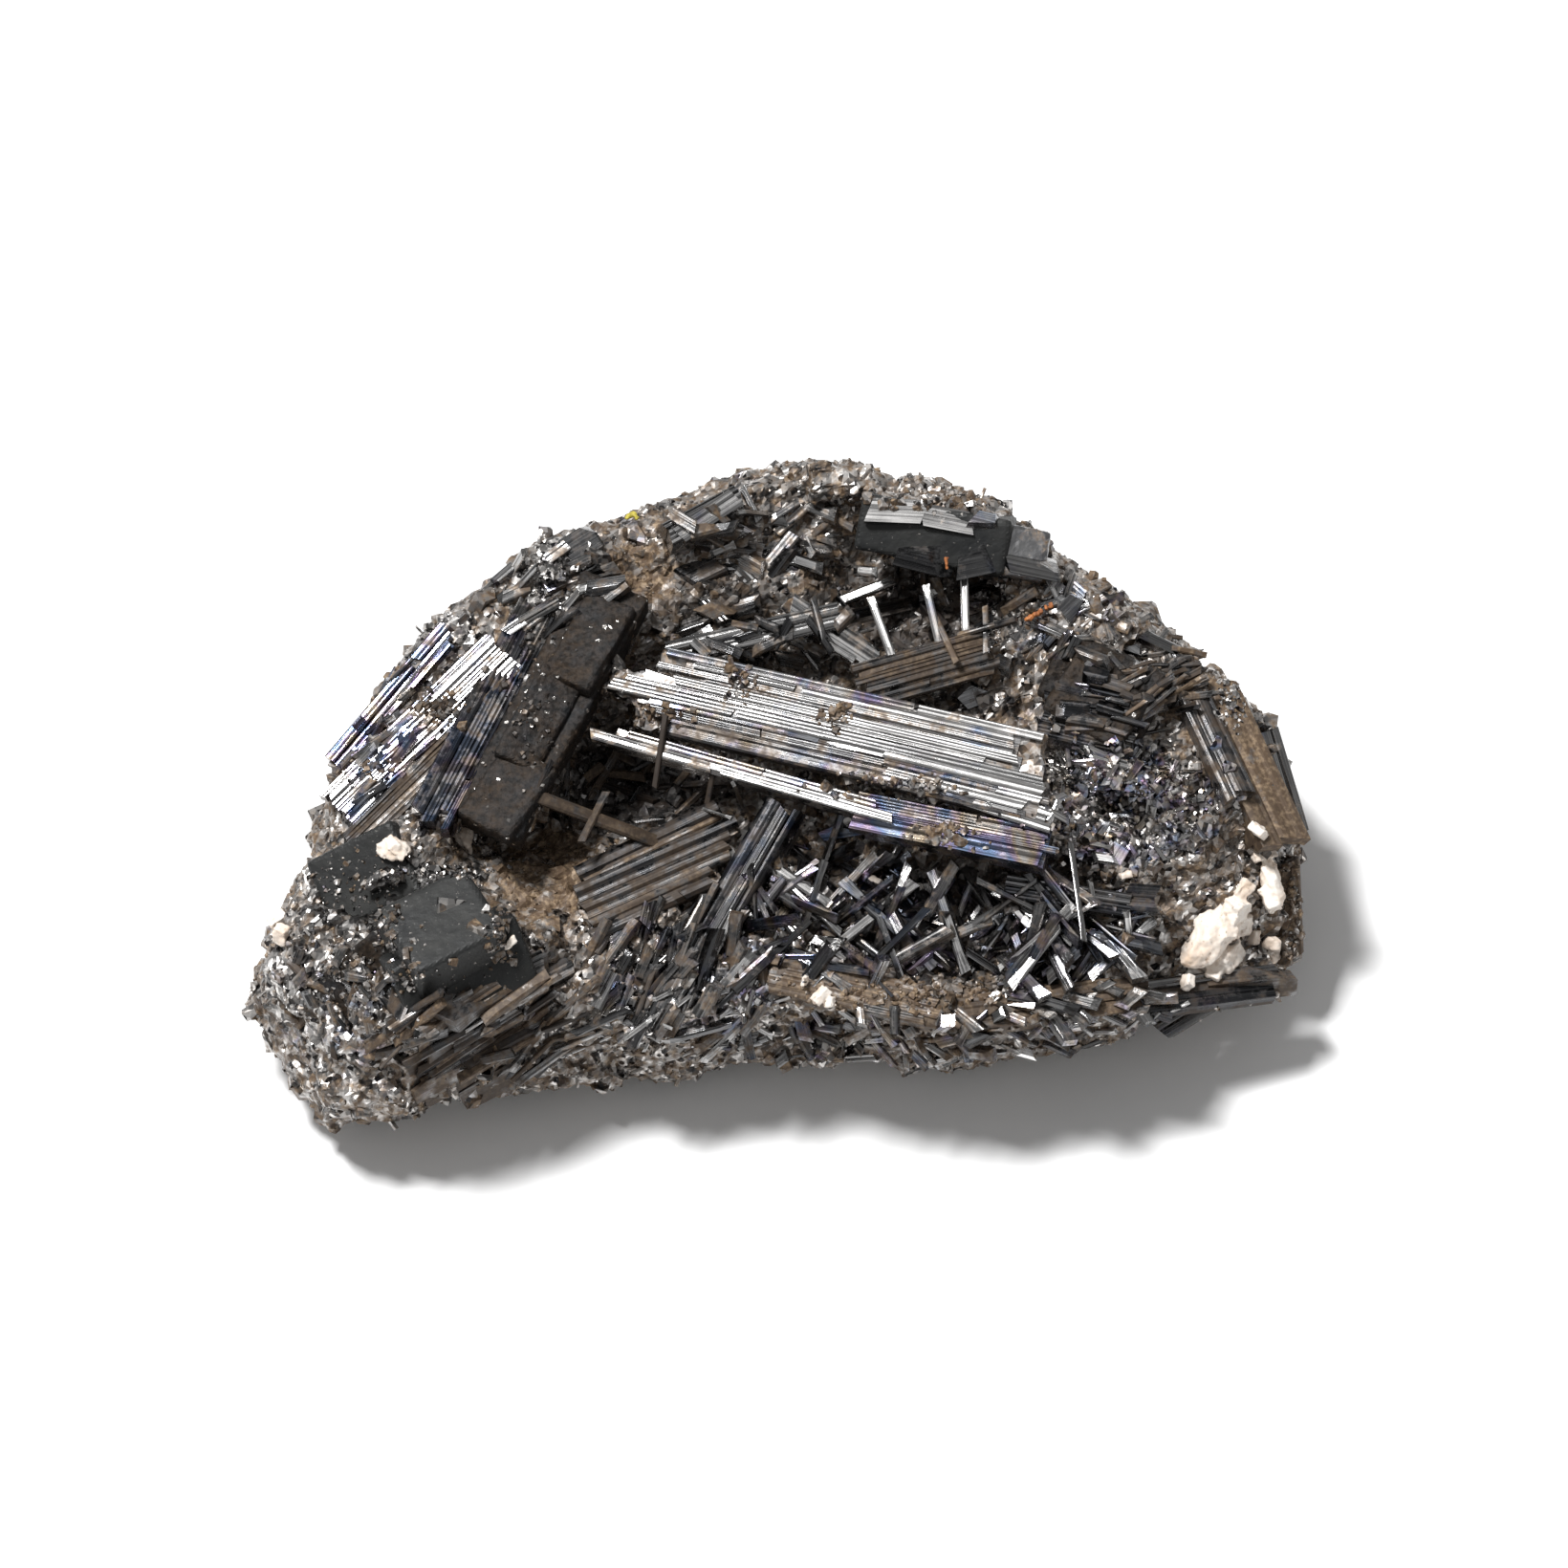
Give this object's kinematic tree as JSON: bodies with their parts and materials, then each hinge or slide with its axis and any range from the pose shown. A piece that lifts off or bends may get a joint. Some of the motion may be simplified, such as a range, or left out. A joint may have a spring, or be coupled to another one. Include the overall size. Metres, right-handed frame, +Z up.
{
  "type": "magnetite specimen",
  "caption": "Half-moon lump of intergrown striated magnetite blades with needle-lined hollows and patches of white calcite, resting on a flat broken foot.",
  "frame": {"origin": "middle of the bounding box on the plane that the specimen rests on", "axes": "+Z up, +X to the right as the display side is seen, +Y away from the viewer; the long axis of the half-moon lies along X"},
  "size_m": [0.0888, 0.0578, 0.0293],
  "materials": {
    "magnetite": "dark steel grey, metallic lustre on the blades, brown dust between them",
    "needle_crust": "dark bronze grey needles with a bright metallic lustre",
    "calcite": "matt chalky white to cream"
  },
  "bodies": {
    "root": {"magnetite_lump": "magnetite", "upper_hollow_crust": "needle_crust", "dark_hollow_crust": "needle_crust", "lower_hollow_crust": "needle_crust", "calcite_patch": "calcite", "calcite_flake": "calcite", "calcite_rod": "calcite", "calcite_grain_left": "calcite", "calcite_grain_right": "calcite"}
  },
  "joints": []
}
